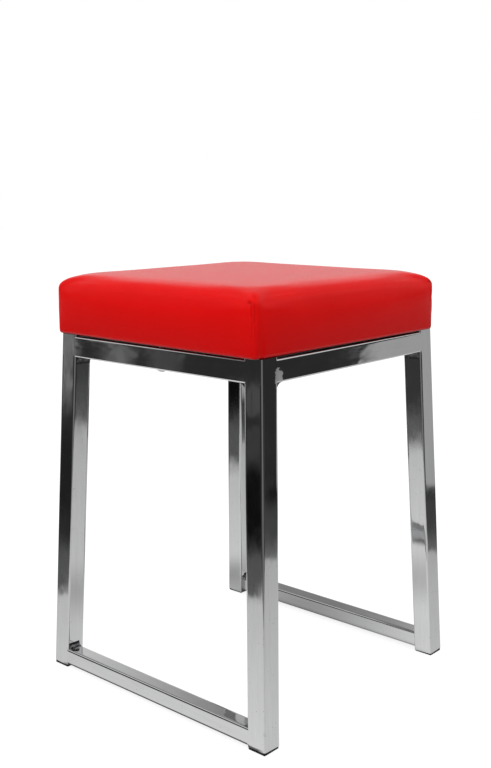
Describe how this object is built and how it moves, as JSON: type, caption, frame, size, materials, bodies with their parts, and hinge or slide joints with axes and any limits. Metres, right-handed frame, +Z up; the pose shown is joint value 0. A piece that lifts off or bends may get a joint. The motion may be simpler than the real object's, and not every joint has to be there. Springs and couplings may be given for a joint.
{
  "type": "low square stool",
  "caption": "Low square stool: a red upholstered box seat on a chromed frame of welded square tube, two leaning loops joined by side rails.",
  "frame": {"origin": "on the floor, under the middle of the seat", "axes": "+Z up; +X to the right and +Y to the back, with the two closed loops of the frame at the front (-Y) and the back (+Y)"},
  "size_m": [0.355, 0.355, 0.5],
  "materials": {
    "chrome": "bright chrome plate over ground welds",
    "black_plastic": "moulded satin",
    "plywood": "bare birch plywood",
    "foam": "open-cell upholstery foam",
    "red_vinyl": "smooth satin vinyl with a fine grain",
    "black_fleece": "non-woven",
    "zinc": "bright zinc plate"
  },
  "bodies": {
    "root": {"front_left_leg": "chrome", "front_right_leg": "chrome", "back_left_leg": "chrome", "back_right_leg": "chrome", "front_top_rail": "chrome", "back_top_rail": "chrome", "left_top_rail": "chrome", "right_top_rail": "chrome", "front_foot_rail": "chrome", "back_foot_rail": "chrome", "leg_caps": "chrome", "top_corner_welds": "chrome", "foot_corner_welds": "chrome", "front_left_glide": "black_plastic", "front_right_glide": "black_plastic", "back_left_glide": "black_plastic", "back_right_glide": "black_plastic", "seat_board": "plywood", "seat_foam": "foam", "seat_cover": "red_vinyl", "dust_cover": "black_fleece", "tee_nuts": "zinc", "seat_screws": "zinc"}
  },
  "joints": []
}
